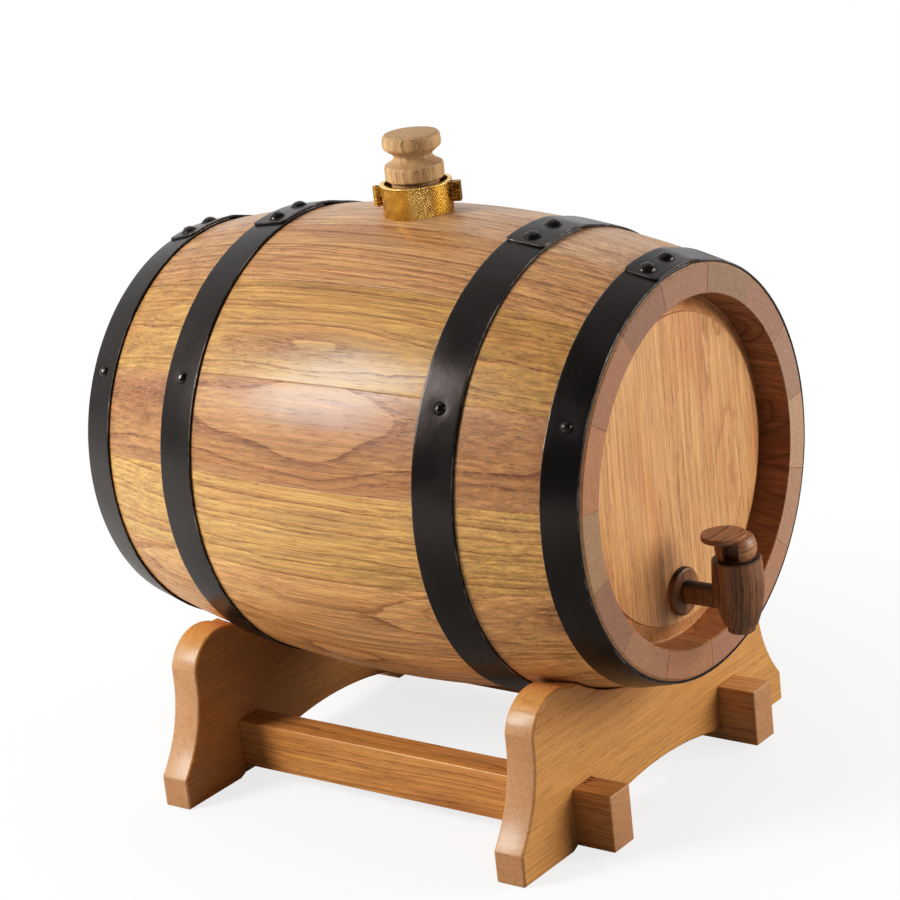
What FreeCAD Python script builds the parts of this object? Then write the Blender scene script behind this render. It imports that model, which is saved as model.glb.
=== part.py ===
import FreeCAD, Part
import math
import os

from FreeCAD import Rotation, Vector

# Small oak wine barrel lying on a cradle stand of two boards and two rails, with a bung on top and a wooden
# tap in the front head.
#
# Working axes, in millimetres: Y is the barrel's long axis with the tap end at -Y, Z is up, X is to the right
# when facing the tap. Every piece is built around the barrel's centre. save() then moves it so that the
# origin is on the floor, under the middle of the object's whole length.

os.makedirs("parts", exist_ok=True)

X, Y, Z = Vector(1, 0, 0), Vector(0, 1, 0), Vector(0, 0, 1)
CENTRE = Vector(0, 0, 0)
MITRED = 2                    # offset style that keeps corners sharp

# ---- barrel shell
BELLY_RADIUS = 130.0          # outside, at mid length
END_RADIUS = 108.5            # outside, at the ends
HALF_LENGTH = 164.0
WALL = 20.0                   # stave thickness at the belly
END_WALL = 21.5               # stave thickness at a head's outer face
CHIME_RADIUS = 92.5           # inner rim at the very end
CHIME_CHAMFER = 1.2
STAVE_WIDTHS = (24, 25, 23, 23, 23, 24, 25, 25, 25, 24, 24, 23, 24, 26, 22)  # degrees, bung stave first
BUNG_STAVE_START = -11.0      # where the bung stave's left edge lies, degrees from straight up

# ---- heads, held in a groove cut inside the staves
FIELD_Y = 150.0               # distance from the middle to a head's outer face
FIELD_RADIUS = 82.5           # flat raised field, bevelled from here to the groove
FIELD_STEP = 1.0
FIELD_EDGE = 0.35             # broken edge of the raised field
BEVEL_DEPTH = 5.0             # from the outer face to the outer side of the groove
HEAD_THICKNESS = 14.0
GROOVE_WIDTH = 6.0
GROOVE_DEPTH = 3.5
RIM_GAP = 0.25                # room at the bottom of the groove
SHOULDER_GAP = 1.0            # room inside the staves, beside the groove
HEAD_JOINTS = {-1: (-30.0, 34.0), 1: (-34.0, 30.0)}   # x of the joints between boards, front and back head
DOWEL_RADIUS = 2.5
DOWEL_LENGTH = 22.0
DOWEL_HEIGHTS = (-42.0, 42.0)

# ---- hoops, rivets and nails
HOOP_THICKNESS = 1.3
HOOP_FIT = 0.05               # room between a hoop and the staves
HOOP_SPANS = {                # along Y, low edge and high edge
    "front_end_hoop": (-164.0, -143.5),
    "front_inner_hoop": (-97.0, -73.8),
    "back_inner_hoop": (73.8, 97.0),
    "back_end_hoop": (143.5, 164.0),
}
HOOP_EDGE = 0.35              # broken outer corners
# The upper end of a hoop lies on the lower one: degrees from straight up, share of a full extra thickness.
LAP_SECTIONS = ((-11.5, 1.0), (-6.0, 1.0), (0.0, 1.0), (5.0, 0.9), (9.0, 0.45), (13.0, 0.02))
RIVET_ANGLES = (-7.8, 1.0)
RIVET_RADIUS, RIVET_HEIGHT = 4.6, 2.6
RIVET_SHANK_RADIUS = 1.8
NAIL_ANGLES = (-60.8, 119.2)
NAIL_RADIUS, NAIL_HEIGHT = 3.3, 2.2
NAIL_SHANK_RADIUS, NAIL_LENGTH = 1.0, 14.0

# ---- bung and brass collar
RUNNING_GAP = 0.05
BUNG_HOLE_TOP, BUNG_HOLE_BOTTOM = 12.5, 11.4      # radii at the belly's outside and at its inside
BUNG_TOP = 170.2
BUNG_BOTTOM = 103.0
SKIRT_BOTTOM = 131.5
SKIRT_RADIUS, SKIRT_EDGE = 16.4, 1.0
SHOULDER_RADIUS, SHOULDER_Z = 15.6, 154.0
SHOULDER_BEND_RADIUS, SHOULDER_BEND_Z = 14.3, 155.9
NECK_RADIUS, NECK_Z = 10.4, 159.0
NECK_BEND_RADIUS, NECK_BEND_Z = 11.0, 161.3
CAP_RADIUS, CAP_BOTTOM = 16.0, 163.6
CAP_UNDERSIDE_RADIUS, CAP_TOP_RADIUS = 13.0, 13.6
COLLAR_TOP = 146.0
COLLAR_SEAT = 127.6
COLLAR_OUTER, COLLAR_INNER = 19.0, 17.1
COLLAR_LIP = 0.5
COLLAR_TURN = 118.0           # direction of the hinge side, degrees from +X
SPLIT_GAP = 0.5
EAR_Z, EAR_HEIGHT = 139.2, 10.5
EAR_REACH = 23.8              # from the bung's axis to the ears' outside
KNUCKLE_RADIUS, LUG_THICKNESS = 2.3, 2.9
PIN_RADIUS, PIN_HEAD_RADIUS, PIN_HEAD_HEIGHT = 1.1, 1.6, 0.6
SCREW_RADIUS, SCREW_HEAD_RADIUS, SCREW_HEAD_HEIGHT = 1.4, 2.6, 1.8
SLOT_WIDTH, SLOT_DEPTH = 0.8, 0.9

# ---- tap
TAP_X, TAP_Y, TAP_Z = -5.0, -185.5, -65.5         # where the upright body crosses the stem
FLANGE_RADIUS, FLANGE_THICKNESS, FLANGE_ROUND = 13.0, 3.5, 1.6
STEM_RADIUS = 6.2
SPIGOT_OUTER, SPIGOT_INNER = 8.0, 7.2             # radii of the tapered end held in the head
SPIGOT_LENGTH = 24.0
WATERWAY_RADIUS = 2.6
BODY_TOP, BODY_BOTTOM = -42.0, -78.5
BODY_TOP_RADIUS, BODY_WIDEST, BODY_FOOT_RADIUS = 13.1, 13.7, 8.8
BODY_WIDEST_Z = -54.0
NOZZLE_RADIUS, NOZZLE_BOTTOM, OUTLET_RADIUS = 7.4, -82.5, 4.2
LINER_RADIUS = 9.6
LINER_TOP, LINER_BOTTOM = -43.0, -74.0
TAP_EDGE = 0.8                # broken edges of the turned parts
KEY_TOP_RADIUS, KEY_BOTTOM_RADIUS = 7.6, 6.4
KEY_DRAIN_RADIUS = 3.4
KEY_BALL_RADIUS, KEY_BALL_Z, BALL_TOP = 11.0, -36.4, -30.2
THUMB_RADIUS, THUMB_THICKNESS, THUMB_TOP, THUMB_OFFSET = 12.0, 3.0, -29.0, 6.0
GRIP_NOTCH_WIDTH, GRIP_WEB, GRIP_FLOOR = 8.6, 6.4, 0.45
KEY_TURN = 15.0               # the key stands a little off square when shut

# ---- stand
FLOOR = -186.5
BOARD_OUTER_Y, BOARD_THICKNESS = 123.0, 18.5
SEAT_FRONT, SEAT_BACK = 119.0, 121.6              # radii of the bevelled seat, outer and inner face
SEAT_MARGIN = 10.0                                # how far the tool that cuts the seat runs past each face
FOOT_HALF, FOOT_HEIGHT, FOOT_FLAT_START = 130.0, 17.5, 85.0
WAIST_HALF, WAIST_Z = 111.0, -118.0
HORN_CORNER_Z, HORN_TOP_X, HORN_TOP_Z = -111.0, 88.0, -93.4
SEAT_END_X, SEAT_END_Z = 74.0, -96.8
ARCH_TOP = -169.8
EDGE_BREAK = 1.0
RAIL_OUTER_X, RAIL_WIDTH = 81.4, 18.3
RAIL_TOP, RAIL_BOTTOM, RAIL_MID_BOTTOM = -152.0, -184.0, -179.0
RAIL_HALF_LENGTH = 146.2

TAP_FRONT = -TAP_Y + BODY_WIDEST                  # the object's furthest point forward
TO_FRAME = Vector(0, (TAP_FRONT - HALF_LENGTH) / 2, -FLOOR)


def save(name, shape):
    """Write one node, moved into the object's frame; a list of solids becomes one compound."""
    if isinstance(shape, list):
        shape = Part.makeCompound(shape)
    if len(shape.Solids) == 1:
        shape = shape.Solids[0]
    moved(shape, TO_FRAME).exportStep(f"parts/{name}.step")


def face_from(points, place):
    """A closed face from 2-D points; ("bend", a, b) makes the next edge an arc through that point."""
    edges = []
    start, bend = place(*points[0]), None
    for point in points[1:] + points[:1]:
        if point[0] == "bend":
            bend = place(*point[1:])
            continue
        end = place(*point)
        if bend is not None:
            edges.append(Part.Arc(start, bend, end).toShape())
        elif start.distanceToPoint(end) > 1e-6:
            edges.append(Part.makeLine(start, end))
        start, bend = end, None
    return Part.Face(Part.Wire(edges))


def turned(points, axis, at=CENTRE):
    """A solid of revolution from points of (radius, distance along the axis)."""
    return face_from(points, lambda r, h: at + X * r + axis * h).revolve(at, axis, 360)


def moved(shape, shift):
    copy = shape.copy()
    copy.translate(shift)
    return copy


def block(x, y, z):
    """A box from three (low, high) pairs."""
    size = [high - low for low, high in (x, y, z)]
    return Part.makeBox(*size, Vector(x[0], y[0], z[0]))


def rod(radius, start, end):
    return Part.makeCylinder(radius, start.distanceToPoint(end), start, end - start)


# ---------------------------------------------------------------- barrel surfaces

DROP = BELLY_RADIUS - END_RADIUS
BEND_RADIUS = (HALF_LENGTH ** 2 + DROP ** 2) / (2 * DROP)   # of the staves' long curve
GROOVE_OUT = FIELD_Y - BEVEL_DEPTH
GROOVE_IN = GROOVE_OUT - GROOVE_WIDTH


def outer_radius(y):
    """The staves' outside is one circular arc from end to end."""
    return BELLY_RADIUS - BEND_RADIUS + math.sqrt(BEND_RADIUS ** 2 - y ** 2)


def inner_radius(y):
    """The staves' inside, slightly thicker walled at the heads than at the belly."""
    return outer_radius(y) - WALL - (END_WALL - WALL) * (y / FIELD_Y) ** 2


def on_surface(shape, angle, y, lift):
    """Stand a shape built along +Z on the staves at an angle from straight up, turning towards +X."""
    tilt = math.degrees(math.asin(y / BEND_RADIUS))
    shape = shape.copy()
    shape.rotate(CENTRE, X, -tilt)
    shape.translate(Vector(0, y, outer_radius(y)) + Vector(0, y, BEND_RADIUS).normalize() * lift)
    shape.rotate(CENTRE, Y, angle)
    return shape


def domed_pin(head_radius, head_height, shank_radius, shank_length):
    """A round-headed pin along +Z whose head rests on Z = 0."""
    sphere = (head_radius ** 2 + head_height ** 2) / (2 * head_height)
    half_angle = math.asin(head_radius / sphere) / 2
    bend = ("bend", sphere * math.sin(half_angle), head_height - sphere * (1 - math.cos(half_angle)))
    return turned([(0, -shank_length), (shank_radius, -shank_length), (shank_radius, 0),
                   (head_radius, 0), bend, (0, head_height)], Z)


# ---------------------------------------------------------------- hoops and their fasteners

def hoop(low, high):
    """A band lying on the staves, with its ends overlapped and riveted near the top."""
    middle = (low + high) / 2
    inside = lambda y: outer_radius(y) + HOOP_FIT
    outside = lambda y: inside(y) + HOOP_THICKNESS
    band = turned([
        (inside(low), low),
        (outside(low) - HOOP_EDGE, low),
        (outside(low + HOOP_EDGE), low + HOOP_EDGE),
        ("bend", outside(middle), middle),
        (outside(high - HOOP_EDGE), high - HOOP_EDGE),
        (outside(high) - HOOP_EDGE, high),
        (inside(high), high),
        ("bend", inside(middle), middle),
    ], Y)
    sections = []
    for angle, share in LAP_SECTIONS:
        root, top = HOOP_THICKNESS / 2, HOOP_THICKNESS * (1 + share)
        corners = [(low, root), (low, top - HOOP_EDGE), (low + HOOP_EDGE, top),
                   (high - HOOP_EDGE, top), (high, top - HOOP_EDGE), (high, root)]
        points = [Vector(0, y, inside(y) + lift) for y, lift in corners]
        section = Part.makePolygon(points + points[:1])
        section.rotate(CENTRE, Y, angle)
        sections.append(section)
    return band.fuse(Part.makeLoft(sections, True)).removeSplitter()


def fasteners():
    """All hoop rivets and all hoop nails, each as a list of solids."""
    rivet = domed_pin(RIVET_RADIUS, RIVET_HEIGHT, RIVET_SHANK_RADIUS, 2 * HOOP_THICKNESS)
    nail = domed_pin(NAIL_RADIUS, NAIL_HEIGHT, NAIL_SHANK_RADIUS, NAIL_LENGTH)
    rivets, nails = [], []
    for low, high in HOOP_SPANS.values():
        middle = (low + high) / 2
        single = HOOP_FIT + HOOP_THICKNESS
        rivets += [on_surface(rivet, angle, middle, single + HOOP_THICKNESS) for angle in RIVET_ANGLES]
        nails += [on_surface(nail, angle, middle, single) for angle in NAIL_ANGLES]
    return rivets, nails


# ---------------------------------------------------------------- staves

def shell():
    """The wooden shell before it is split into staves, with its chimes and both head grooves."""
    half = [
        (outer_radius(HALF_LENGTH - CHIME_CHAMFER), HALF_LENGTH - CHIME_CHAMFER),
        (END_RADIUS - CHIME_CHAMFER, HALF_LENGTH),
        (CHIME_RADIUS, HALF_LENGTH),
        (inner_radius(GROOVE_OUT), GROOVE_OUT),
        (inner_radius(GROOVE_OUT) + GROOVE_DEPTH, GROOVE_OUT),
        (inner_radius(GROOVE_OUT) + GROOVE_DEPTH, GROOVE_IN),
        (inner_radius(GROOVE_IN), GROOVE_IN),
    ]
    other_half = [(r, -h) for r, h in reversed(half)]
    belly_inside = ("bend", inner_radius(0), 0)
    belly_outside = ("bend", BELLY_RADIUS, 0)
    return turned(half + [belly_inside] + other_half + [belly_outside], Y)


def staves(nails):
    """The shell split along planes through the barrel's axis; the first stave carries the bung hole."""
    whole = shell()
    reach = 2 * BELLY_RADIUS
    edge = BUNG_STAVE_START
    pieces = []
    for width in STAVE_WIDTHS:
        corners = [CENTRE] + [Rotation(Y, a).multVec(Z * reach) for a in (edge, edge + width)]
        foot = Part.Face(Part.makePolygon(corners + [CENTRE]))
        foot.translate(-Y * reach)
        wedge = foot.extrude(Y * 2 * reach)
        pieces.append(whole.common(wedge).cut(nails))
        edge += width
    pieces[0] = pieces[0].cut([bung_plug(RUNNING_GAP), rod(COLLAR_OUTER, Z * COLLAR_SEAT, Z * BUNG_TOP)])
    return pieces


# ---------------------------------------------------------------- heads

def head_disc():
    """A whole head at the +Y end: a raised round field bevelled down to a rim that fills the groove."""
    inner_face = FIELD_Y - HEAD_THICKNESS
    rim = inner_radius(GROOVE_OUT) + GROOVE_DEPTH - RIM_GAP
    shoulder = inner_radius(GROOVE_OUT) - SHOULDER_GAP
    return turned([
        (0, FIELD_Y),
        (FIELD_RADIUS - FIELD_EDGE, FIELD_Y),
        (FIELD_RADIUS, FIELD_Y - FIELD_EDGE),
        (FIELD_RADIUS, FIELD_Y - FIELD_STEP),
        (shoulder, GROOVE_OUT),
        (rim, GROOVE_OUT),
        (rim, GROOVE_IN),
        (shoulder, GROOVE_IN),
        (shoulder - (GROOVE_IN - inner_face), inner_face),
        (0, inner_face),
    ], Y)


def head(side):
    """Three boards and the dowels that join them edge to edge; side is -1 at the front, 1 at the back."""
    disc = head_disc()
    if side < 0:
        disc = disc.mirror(CENTRE, Y)
    joints = HEAD_JOINTS[side]
    middle_y = side * (FIELD_Y - HEAD_THICKNESS / 2)
    reach = X * DOWEL_LENGTH / 2
    centres = [Vector(x, middle_y, z) for x in joints for z in DOWEL_HEIGHTS]
    dowels = [rod(DOWEL_RADIUS, centre - reach, centre + reach) for centre in centres]
    edges = (-BELLY_RADIUS,) + joints + (BELLY_RADIUS,)
    everywhere = (-BELLY_RADIUS, BELLY_RADIUS)
    depth = (-HALF_LENGTH, HALF_LENGTH)
    boards = [disc.common(block(span, depth, everywhere)).cut(dowels) for span in zip(edges, edges[1:])]
    return boards, dowels


# ---------------------------------------------------------------- bung and collar

def bung_plug(grow=0.0):
    """The tapered lower end of the bung, or with grow the hole that it sits in."""
    slope = (BUNG_HOLE_TOP - BUNG_HOLE_BOTTOM) / WALL
    radius = lambda z: BUNG_HOLE_TOP - RUNNING_GAP + grow - slope * (BELLY_RADIUS - z)
    top = SKIRT_BOTTOM
    return turned([(0, BUNG_BOTTOM), (radius(BUNG_BOTTOM), BUNG_BOTTOM), (radius(top), top), (0, top)], Z)


def bung():
    """A turned knob: rounded cap, narrow neck, flared skirt inside the collar, then the tapered plug."""
    knob = turned([
        (0, SKIRT_BOTTOM),
        (SKIRT_RADIUS - SKIRT_EDGE, SKIRT_BOTTOM),
        (SKIRT_RADIUS, SKIRT_BOTTOM + SKIRT_EDGE),
        (SKIRT_RADIUS, COLLAR_TOP),
        (SHOULDER_RADIUS, SHOULDER_Z),
        ("bend", SHOULDER_BEND_RADIUS, SHOULDER_BEND_Z),
        (NECK_RADIUS, NECK_Z),
        ("bend", NECK_BEND_RADIUS, NECK_BEND_Z),
        (CAP_UNDERSIDE_RADIUS, CAP_BOTTOM),
        ("bend", CAP_RADIUS, (CAP_BOTTOM + BUNG_TOP) / 2),
        (CAP_TOP_RADIUS, BUNG_TOP),
        (0, BUNG_TOP),
    ], Z)
    return knob.fuse(bung_plug()).removeSplitter()


def collar():
    """A split brass ring with a hinge on one side and a clamping screw on the other."""
    ring = turned([
        (COLLAR_INNER, COLLAR_SEAT),
        (COLLAR_OUTER, COLLAR_SEAT),
        (COLLAR_OUTER, COLLAR_TOP - 2 * COLLAR_LIP),
        ("bend", COLLAR_OUTER + COLLAR_LIP, COLLAR_TOP - COLLAR_LIP),
        (COLLAR_OUTER, COLLAR_TOP),
        (COLLAR_INNER, COLLAR_TOP),
    ], Z)
    low, high = EAR_Z - EAR_HEIGHT / 2, EAR_Z + EAR_HEIGHT / 2
    hinge_x = EAR_REACH - KNUCKLE_RADIUS
    screw_x = -(COLLAR_OUTER + EAR_REACH) / 2
    pin = domed_pin(PIN_HEAD_RADIUS, PIN_HEAD_HEIGHT, PIN_RADIUS, EAR_HEIGHT + PIN_HEAD_HEIGHT)
    pin.translate(Vector(hinge_x, 0, high))
    along_screw = lambda y: Vector(screw_x, y, EAR_Z)
    head_top = LUG_THICKNESS + SCREW_HEAD_HEIGHT
    screw_head = rod(SCREW_HEAD_RADIUS, along_screw(LUG_THICKNESS), along_screw(head_top))
    slot_across = (screw_x - SLOT_WIDTH / 2, screw_x + SLOT_WIDTH / 2)
    slot = block(slot_across, (head_top - SLOT_DEPTH, head_top), (low, high))
    screw_shank = rod(SCREW_RADIUS, along_screw(-LUG_THICKNESS), along_screw(LUG_THICKNESS))
    screw = screw_shank.fuse(screw_head).cut(slot)
    halves = []
    for side, knuckle_low in ((1, EAR_Z + SPLIT_GAP / 4), (-1, low)):
        face_y, far_y = side * SPLIT_GAP / 2, side * BELLY_RADIUS
        lug_y = side * LUG_THICKNESS
        knuckle_high = knuckle_low + EAR_HEIGHT / 2 - SPLIT_GAP / 4
        half = ring.common(block((-BELLY_RADIUS, BELLY_RADIUS), sorted((face_y, far_y)), (0, BUNG_TOP)))
        knuckle = rod(KNUCKLE_RADIUS, Vector(hinge_x, 0, knuckle_low), Vector(hinge_x, 0, knuckle_high))
        web_y = sorted((face_y, side * KNUCKLE_RADIUS))
        web = block((COLLAR_INNER + 1, hinge_x), web_y, (knuckle_low, knuckle_high))
        lug = block((-EAR_REACH, -COLLAR_INNER - 1), sorted((face_y, lug_y)), (low, high))
        half = half.fuse([knuckle, web, lug]).cut([pin, screw]).removeSplitter()
        halves.append(half)
    pieces = halves + [pin, screw]
    for piece in pieces:
        piece.rotate(CENTRE, Z, COLLAR_TURN)
    return pieces


# ---------------------------------------------------------------- tap

TAP_AXIS = Vector(TAP_X, TAP_Y, 0)
STEM_AXIS = Vector(TAP_X, 0, TAP_Z)


def spigot(grow=0.0):
    """The tapered end of the tap's stem that is pushed into the head."""
    return turned([
        (0, -FIELD_Y),
        (SPIGOT_OUTER + grow, -FIELD_Y),
        (SPIGOT_INNER + grow, SPIGOT_LENGTH - FIELD_Y),
        (0, SPIGOT_LENGTH - FIELD_Y),
    ], Y, STEM_AXIS)


def waterway(radius, start, end):
    return rod(radius, Vector(TAP_X, start, TAP_Z), Vector(TAP_X, end, TAP_Z))


def tap_body():
    """Upright turned body on a horizontal stem, bored for the cork liner, the inlet and the outlet."""
    lower_bend_z = (BODY_WIDEST_Z + BODY_BOTTOM) / 2
    sag = (BODY_WIDEST - BODY_FOOT_RADIUS) / 4
    upright = turned([
        (0, NOZZLE_BOTTOM),
        (NOZZLE_RADIUS - TAP_EDGE, NOZZLE_BOTTOM),
        (NOZZLE_RADIUS, NOZZLE_BOTTOM + TAP_EDGE),
        (NOZZLE_RADIUS, BODY_BOTTOM),
        (BODY_FOOT_RADIUS, BODY_BOTTOM),
        ("bend", BODY_WIDEST - sag, lower_bend_z),
        (BODY_WIDEST, BODY_WIDEST_Z),
        (BODY_TOP_RADIUS, BODY_TOP - TAP_EDGE),
        (BODY_TOP_RADIUS - TAP_EDGE, BODY_TOP),
        (0, BODY_TOP),
    ], Z, TAP_AXIS)
    flange_face = -FIELD_Y - FLANGE_THICKNESS
    corner_fall = FLANGE_ROUND * (1 - math.sqrt(0.5))
    flange = turned([
        (0, -FIELD_Y),
        (FLANGE_RADIUS, -FIELD_Y),
        (FLANGE_RADIUS, flange_face + FLANGE_ROUND),
        ("bend", FLANGE_RADIUS - corner_fall, flange_face + corner_fall),
        (FLANGE_RADIUS - FLANGE_ROUND, flange_face),
        (0, flange_face),
    ], Y, STEM_AXIS)
    stem = waterway(STEM_RADIUS, -FIELD_Y, TAP_Y)
    bores = [
        rod(LINER_RADIUS, TAP_AXIS + Z * LINER_BOTTOM, TAP_AXIS),
        rod(OUTLET_RADIUS, TAP_AXIS + Z * FLOOR, TAP_AXIS),
        waterway(WATERWAY_RADIUS, 0, TAP_Y),
    ]
    return upright.fuse([flange, stem, spigot()]).cut(bores).removeSplitter()


def key_plug(grow=0.0):
    """The key's tapered plug, or with grow the socket that it turns in."""
    return turned([
        (0, LINER_BOTTOM),
        (KEY_BOTTOM_RADIUS + grow, LINER_BOTTOM),
        (KEY_TOP_RADIUS + grow, LINER_TOP),
        (0, LINER_TOP),
    ], Z, TAP_AXIS)


def cork_liner():
    sleeve = rod(LINER_RADIUS, TAP_AXIS + Z * LINER_BOTTOM, TAP_AXIS + Z * LINER_TOP)
    return sleeve.cut([key_plug(RUNNING_GAP), waterway(WATERWAY_RADIUS, 0, TAP_Y)])


def tap_key():
    """A tapered plug with a ball head, two sawn finger notches and a round thumb plate set to one side."""
    ball_bottom = LINER_TOP + RUNNING_GAP
    at = lambda z: TAP_AXIS + Z * z
    ball = Part.makeSphere(KEY_BALL_RADIUS, at(KEY_BALL_Z))
    slab = block((-BELLY_RADIUS, BELLY_RADIUS), (-2 * HALF_LENGTH, 0), (ball_bottom, BALL_TOP))
    thumb_at = at(THUMB_TOP - THUMB_THICKNESS) + Y * THUMB_OFFSET
    plate = Part.makeCylinder(THUMB_RADIUS, THUMB_THICKNESS, thumb_at)
    plate = plate.makeFillet(TAP_EDGE, plate.Edges)
    plug = key_plug()
    plug = plug.cut(rod(KEY_TOP_RADIUS, at(FLOOR), at(LINER_BOTTOM + RUNNING_GAP)))
    neck = rod(KEY_TOP_RADIUS, at(LINER_TOP - RUNNING_GAP), at(ball_bottom + RUNNING_GAP))
    notches = []
    for side in (-1, 1):
        reach = sorted((TAP_X + side * GRIP_WEB / 2, TAP_X + side * 2 * KEY_BALL_RADIUS))
        across = (TAP_Y - GRIP_NOTCH_WIDTH / 2, TAP_Y + GRIP_NOTCH_WIDTH / 2)
        notches.append(block(reach, across, (ball_bottom + GRIP_FLOOR, THUMB_TOP - THUMB_THICKNESS)))
    head_piece = ball.common(slab).cut(notches)
    side_port = rod(WATERWAY_RADIUS, at(TAP_Z), at(TAP_Z) + X * KEY_BALL_RADIUS)
    drain = rod(KEY_DRAIN_RADIUS, at(FLOOR), at(TAP_Z + WATERWAY_RADIUS))
    key = head_piece.fuse([plate, neck, plug]).cut([side_port, drain]).removeSplitter()
    key.rotate(TAP_AXIS, Z, KEY_TURN)
    return key


# ---------------------------------------------------------------- stand

def eased(start, end):
    """How far an arc that sets out along one axis has fallen away halfway to its end."""
    run, fall = abs(end[0] - start[0]), abs(end[1] - start[1])
    radius = (run ** 2 + fall ** 2) / (2 * fall)
    return radius - math.sqrt(radius ** 2 - (run / 2) ** 2)


def board():
    """The front cradle board: feet, waists, horns, an arch below and a bevelled seat for the barrel."""
    foot_top = FLOOR + FOOT_HEIGHT
    waist_bend_x = WAIST_HALF + eased((WAIST_Z, WAIST_HALF), (foot_top, FOOT_HALF))
    outer_x, inner_x = (WAIST_HALF + HORN_TOP_X) / 2, (SEAT_END_X + HORN_TOP_X) / 2
    half = [
        (0, ARCH_TOP),
        ("bend", FOOT_FLAT_START / 2, ARCH_TOP - eased((0, ARCH_TOP), (FOOT_FLAT_START, FLOOR))),
        (FOOT_FLAT_START, FLOOR),
        (FOOT_HALF, FLOOR),
        (FOOT_HALF, foot_top),
        ("bend", waist_bend_x, (WAIST_Z + foot_top) / 2),
        (WAIST_HALF, WAIST_Z),
        (WAIST_HALF, HORN_CORNER_Z),
        ("bend", outer_x, HORN_TOP_Z - eased((HORN_TOP_X, HORN_TOP_Z), (WAIST_HALF, HORN_CORNER_Z))),
        (HORN_TOP_X, HORN_TOP_Z),
        ("bend", inner_x, HORN_TOP_Z - eased((HORN_TOP_X, HORN_TOP_Z), (SEAT_END_X, SEAT_END_Z))),
        (SEAT_END_X, SEAT_END_Z),
    ]
    other_half = []
    for point in reversed(half[1:]):
        other_half.append(("bend", -point[1], point[2]) if point[0] == "bend" else (-point[0], point[1]))
    outline = face_from(half + other_half, lambda x, z: Vector(x, -BOARD_OUTER_Y, z))
    full = outline.OuterWire
    inset = full.makeOffset2D(-EDGE_BREAK, MITRED)
    layers = ((inset, 0), (full, EDGE_BREAK), (full, BOARD_THICKNESS - EDGE_BREAK), (inset, BOARD_THICKNESS))
    blank = Part.makeLoft([moved(wire, Y * depth) for wire, depth in layers], True, True)
    seat_start = -BOARD_OUTER_Y - SEAT_MARGIN
    seat_stop = BOARD_THICKNESS - BOARD_OUTER_Y + SEAT_MARGIN
    seat_widening = (SEAT_BACK - SEAT_FRONT) / BOARD_THICKNESS * SEAT_MARGIN
    seat = turned([
        (0, seat_start),
        (SEAT_FRONT - seat_widening, seat_start),
        (SEAT_BACK + seat_widening, seat_stop),
        (0, seat_stop),
    ], Y)
    return blank.cut([seat] + rail_slots())


def rail(side):
    """A rail that runs through both boards, shallower underneath between them."""
    across = sorted((side * RAIL_OUTER_X, side * (RAIL_OUTER_X - RAIL_WIDTH)))
    bar = block(across, (-RAIL_HALF_LENGTH, RAIL_HALF_LENGTH), (RAIL_BOTTOM, RAIL_TOP))
    bar = bar.makeChamfer(EDGE_BREAK / 2, bar.Edges)
    between = BOARD_OUTER_Y - BOARD_THICKNESS
    return bar.cut(block(across, (-between, between), (FLOOR, RAIL_MID_BOTTOM)))


def rail_slots():
    """Slots cut up into a board from below, one for each rail."""
    slots = []
    for side in (-1, 1):
        across = sorted((side * RAIL_OUTER_X, side * (RAIL_OUTER_X - RAIL_WIDTH)))
        slots.append(block(across, (-HALF_LENGTH, HALF_LENGTH), (2 * FLOOR, RAIL_TOP)))
    return slots


def main():
    rivets, nails = fasteners()
    save("hoop_rivets", rivets)
    save("hoop_nails", nails)
    for name, (low, high) in HOOP_SPANS.items():
        save(name, hoop(low, high).cut(rivets + nails))
    for number, stave in enumerate(staves(nails), 1):
        save("stave_01_bung" if number == 1 else f"stave_{number:02d}", stave)
    for side, end in ((-1, "front"), (1, "back")):
        boards, dowels = head(side)
        save(f"{end}_head_dowels", dowels)
        for place, piece in zip(("left", "centre", "right"), boards):
            if (end, place) == ("front", "centre"):
                piece = piece.cut(spigot(RUNNING_GAP))
            save(f"{end}_head_board_{place}", piece)
    save("bung", bung())
    names = ("collar_front_half", "collar_rear_half", "collar_hinge_pin", "collar_clamp_screw")
    for name, piece in zip(names, collar()):
        save(name, piece)
    save("tap_body", tap_body())
    save("tap_cork_liner", cork_liner())
    save("tap_key", tap_key())
    front_board = board()
    save("stand_board_front", front_board)
    save("stand_board_back", front_board.mirror(CENTRE, Y))
    save("stand_rail_left", rail(-1))
    save("stand_rail_right", rail(1))


main()
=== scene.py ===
import math
import random
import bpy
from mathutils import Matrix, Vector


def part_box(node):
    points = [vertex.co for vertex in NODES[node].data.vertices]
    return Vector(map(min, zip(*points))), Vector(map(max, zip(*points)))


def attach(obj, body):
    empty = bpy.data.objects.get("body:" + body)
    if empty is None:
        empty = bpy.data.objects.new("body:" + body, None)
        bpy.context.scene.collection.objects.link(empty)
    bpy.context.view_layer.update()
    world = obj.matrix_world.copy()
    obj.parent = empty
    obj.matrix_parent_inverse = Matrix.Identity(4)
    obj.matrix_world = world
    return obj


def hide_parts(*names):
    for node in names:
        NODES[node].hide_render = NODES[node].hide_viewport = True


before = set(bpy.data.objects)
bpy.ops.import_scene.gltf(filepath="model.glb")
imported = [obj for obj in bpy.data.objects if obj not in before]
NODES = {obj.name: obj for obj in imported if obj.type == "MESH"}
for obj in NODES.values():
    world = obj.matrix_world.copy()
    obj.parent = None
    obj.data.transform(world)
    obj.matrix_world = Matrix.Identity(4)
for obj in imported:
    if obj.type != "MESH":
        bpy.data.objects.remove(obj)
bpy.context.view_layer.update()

from types import SimpleNamespace

import bmesh
import bpy
from mathutils import Matrix, Vector, noise

# A small oak wine barrel on its cradle stand. Lengths are in mm, and MM turns them into scene units.
# The barrel lies along Y with its tap at -Y. Turns round it are in degrees, from straight up towards +X.

MM = 0.001

# ------------------------------------------------------------ places taken from the frame

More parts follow.
